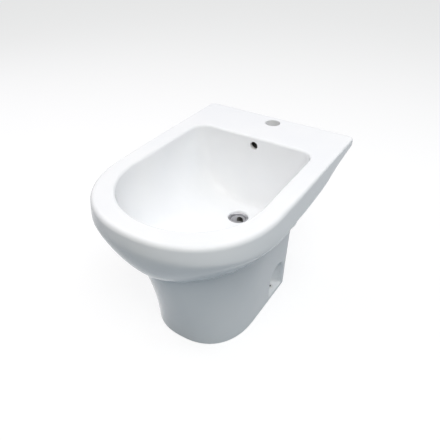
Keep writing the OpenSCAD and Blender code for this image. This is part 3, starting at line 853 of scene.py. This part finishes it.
def varied(name, low, high, rough, scale, grain, strength, depth, **sockets):
    """A finish whose colour and roughness vary a little in patches, and whose surface has a fine grain.

    Colour runs from low to high and roughness between the two values of rough. Patches have this scale per
    metre. The grain has its own scale, a strength and a depth in metres.
    """
    mat = bpy.data.materials.new(name)
    mat.use_nodes = True
    tree = mat.node_tree
    shader = tree.nodes["Principled BSDF"]
    vector = tree.nodes.new("ShaderNodeTexCoord").outputs["Object"]
    tree.links.new(ramp(tree, noise(tree, vector, scale), low, high), shader.inputs["Base Color"])
    tree.links.new(ramp(tree, noise(tree, vector, scale * 2.3), (rough[0],) * 3, (rough[1],) * 3),
                   shader.inputs["Roughness"])
    tree.links.new(bump(tree, noise(tree, vector, grain), strength, depth), shader.inputs["Normal"])
    for key, value in sockets.items():
        shader.inputs[key.replace("_", " ")].default_value = value
    return mat


glaze = varied("glazed_china", (0.885, 0.895, 0.905), (0.915, 0.92, 0.92), rough=(0.07, 0.13), scale=9,
               grain=26, strength=0.12, depth=0.0006, IOR=1.52, Specular_IOR_Level=0.12)
# Unglazed china: the real bare finish of the foot and the underside. In the tap hole and the overflow it is
# also painted shade, darker than the glaze to stand for the shade down the holes.
bisque_and_hole_shade = varied("unglazed_china_and_hole_shade", (0.73, 0.725, 0.72), (0.80, 0.795, 0.79), rough=(0.75, 0.92), scale=40,
                grain=900, strength=0.5, depth=0.0003)
# Painted shade: near black, for the unlit inside of the duct, the channel, the outlet's bore and the bushes'
# bores.
painted_shade = varied("painted_shade", (0.12, 0.12, 0.11), (0.18, 0.18, 0.165), rough=(0.8, 0.95), scale=40,
                  grain=900, strength=0.5, depth=0.0003)
chrome = varied("chromed_brass", (0.36, 0.36, 0.375), (0.44, 0.44, 0.455), rough=(0.3, 0.42), scale=60,
                grain=700, strength=0.08, depth=0.0001, Metallic=1.0)
satin = varied("satin_bore", (0.78, 0.78, 0.80), (0.86, 0.86, 0.88), rough=(0.45, 0.6), scale=60,
               grain=700, strength=0.08, depth=0.0001, Metallic=0.35)
seal_rubber = varied("seal_rubber", (0.045, 0.045, 0.05), (0.075, 0.075, 0.08), rough=(0.55, 0.75),
                     scale=120, grain=1500, strength=0.3, depth=0.0001)
gasket_rubber = varied("gasket_rubber", (0.035, 0.035, 0.038), (0.065, 0.065, 0.07), rough=(0.6, 0.8),
                       scale=90, grain=1300, strength=0.35, depth=0.0001)
washer_plastic = varied("washer_plastic", (0.66, 0.69, 0.72), (0.74, 0.76, 0.79), rough=(0.35, 0.5),
                        scale=80, grain=600, strength=0.1, depth=0.0001)
brass = varied("raw_brass", (0.55, 0.38, 0.15), (0.68, 0.49, 0.22), rough=(0.22, 0.42), scale=70,
               grain=800, strength=0.15, depth=0.0001, Metallic=1.0)
nylon = varied("bush_plastic", (0.80, 0.80, 0.78), (0.86, 0.86, 0.84), rough=(0.35, 0.5), scale=150,
               grain=900, strength=0.1, depth=0.0001)

# ------------------------------------------------ pieces
body = china()
for mat in (glaze, bisque_and_hole_shade, painted_shade):
    body.data.materials.append(mat)
shade_smooth(body, 34)
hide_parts("ceramic_body")
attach(body, "root")

# The bushes' second material is the painted shade of their bores.
for made, node, looks, slot_name in (
        (waste(), "waste_body", (chrome, satin), "chromed_brass"),
        (flange_seal(), "flange_seal", (seal_rubber,), "seal_rubber"),
        (fixing_bush(-1), "fixing_bush_left", (nylon, painted_shade), "bush_plastic"),
        (fixing_bush(1), "fixing_bush_right", (nylon, painted_shade), "bush_plastic")):
    for mat in looks:
        made.data.materials.append(mat)
    shade_smooth(made, 40)
    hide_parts(node)
    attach(made, "root")

for node, mat in (("under_gasket", gasket_rubber), ("slip_washer", washer_plastic), ("backnut", brass)):
    obj = nodes[node]
    obj.data.materials.clear()
    obj.data.materials.append(mat)

# ------------------------------------------------ floor and surroundings
FLOOR_REACH = 30                # metres each way


def light_path_mix(tree, seen, other):
    """seen for camera, glossy and transmission rays, other for the rest."""
    path = tree.nodes.new("ShaderNodeLightPath")
    two, three = tree.nodes.new("ShaderNodeMath"), tree.nodes.new("ShaderNodeMath")
    two.operation = three.operation = "MAXIMUM"
    tree.links.new(path.outputs["Is Camera Ray"], two.inputs[0])
    tree.links.new(path.outputs["Is Glossy Ray"], two.inputs[1])
    tree.links.new(two.outputs[0], three.inputs[0])
    tree.links.new(path.outputs["Is Transmission Ray"], three.inputs[1])
    mixed = tree.nodes.new("ShaderNodeMixShader")
    tree.links.new(three.outputs[0], mixed.inputs[0])
    tree.links.new(other, mixed.inputs[1])
    tree.links.new(seen, mixed.inputs[2])
    return mixed.outputs[0]


def floor_material():
    """Pale with soft shadows where it is seen, and dim for the light that it throws on the body."""
    mat = bpy.data.materials.new("pale_floor")
    mat.use_nodes = True
    tree = mat.node_tree
    tree.nodes.clear()
    out = tree.nodes.new("ShaderNodeOutputMaterial")
    dim, lit = tree.nodes.new("ShaderNodeBsdfDiffuse"), tree.nodes.new("ShaderNodeBsdfDiffuse")
    glow, pale = tree.nodes.new("ShaderNodeEmission"), tree.nodes.new("ShaderNodeAddShader")
    dim.inputs["Color"].default_value = (0.34, 0.40, 0.45, 1)
    lit.inputs["Color"].default_value = (0.35, 0.35, 0.35, 1)
    glow.inputs["Color"].default_value = (1, 1, 1, 1)
    glow.inputs["Strength"].default_value = 0.74
    tree.links.new(lit.outputs[0], pale.inputs[0])
    tree.links.new(glow.outputs[0], pale.inputs[1])
    tree.links.new(light_path_mix(tree, pale.outputs[0], dim.outputs[0]), out.inputs["Surface"])
    return mat


def white_world():
    """Plain white where it is seen, and weak for the light that it throws on the body."""
    world = bpy.data.worlds.new("studio")
    world.use_nodes = True
    tree = world.node_tree
    tree.nodes.clear()
    out = tree.nodes.new("ShaderNodeOutputWorld")
    ambient, white = tree.nodes.new("ShaderNodeBackground"), tree.nodes.new("ShaderNodeBackground")
    ambient.inputs["Color"].default_value = (0.84, 0.98, 1.0, 1)
    ambient.inputs["Strength"].default_value = 0.10
    white.inputs["Color"].default_value = (1, 1, 1, 1)
    white.inputs["Strength"].default_value = 1.0
    tree.links.new(light_path_mix(tree, white.outputs[0], ambient.outputs[0]), out.inputs["Surface"])
    return world


floor_mesh = bpy.data.meshes.new("floor")
corners = [(x * FLOOR_REACH, y * FLOOR_REACH, 0) for x, y in ((-1, -1), (1, -1), (1, 1), (-1, 1))]
floor_mesh.from_pydata(corners, [], [(0, 1, 2, 3)])
floor = bpy.data.objects.new("floor", floor_mesh)
scene.collection.objects.link(floor)
floor_mesh.materials.append(floor_material())
scene.world = white_world()

# ------------------------------------------------ lamps
LAMP_SIZE = 1.4                 # metres square
LAMP_DISTANCE = 2.2
LAMP_POWER = 40
LIT_POINT = Vector((0, 0, 0.25))


def direction(azimuth, elevation):
    """Unit vector away from the object. Both angles are in radians, and the azimuth is 0 in front."""
    return Vector((math.sin(azimuth) * math.cos(elevation), -math.cos(azimuth) * math.cos(elevation),
                   math.sin(elevation)))


def softbox(name, azimuth, elevation, strength):
    """A square lamp that faces the body; strength is its red, green and blue share of LAMP_POWER."""
    top = max(strength)
    data = bpy.data.lights.new(name, "AREA")
    data.shape = "RECTANGLE"
    data.size = data.size_y = LAMP_SIZE
    data.energy = LAMP_POWER * top
    data.color = [v / top for v in strength]
    obj = bpy.data.objects.new(name, data)
    obj.location = LIT_POINT + direction(math.radians(azimuth), math.radians(elevation)) * LAMP_DISTANCE
    obj.rotation_euler = (LIT_POINT - obj.location).to_track_quat("-Z", "Y").to_euler()
    scene.collection.objects.link(obj)


softbox("left", -90, 55, (0.395, 0.385, 0.40))
softbox("front", 0, 55, (0.075, 0.06, 0.045))
softbox("front_right", 45, 55, (0.68, 0.685, 0.685))
softbox("rear_right", 135, 55, (0.271, 0.279, 0.299))
softbox("rear", 180, 55, (0.09, 0.08, 0.08))
softbox("low_left", -90, 22, (0.075, 0.07, 0.08))

# ------------------------------------------------ camera
AZIMUTH = math.radians(32.324)
ELEVATION = math.radians(36.123)
DISTANCE = 1.081369
TARGET = Vector((-0.020029, 0.039161, 0.200))
FOCAL_LENGTH = 464.323          # in pixels of the photograph,
PHOTO_WIDTH = 440               # which is this wide
SENSOR_WIDTH = 36

back = direction(AZIMUTH, ELEVATION)
right = Vector((math.cos(AZIMUTH), math.sin(AZIMUTH), 0))
camera_data = bpy.data.cameras.new("camera")
camera_data.sensor_width = SENSOR_WIDTH
camera_data.lens = FOCAL_LENGTH / PHOTO_WIDTH * SENSOR_WIDTH
camera_data.clip_end = 100
camera = bpy.data.objects.new("camera", camera_data)
camera.matrix_world = (Matrix.Translation(TARGET + back * DISTANCE)
                       @ Matrix((right, back.cross(right), back)).transposed().to_4x4())
scene.collection.objects.link(camera)
scene.camera = camera
scene.view_settings.view_transform = "Standard"
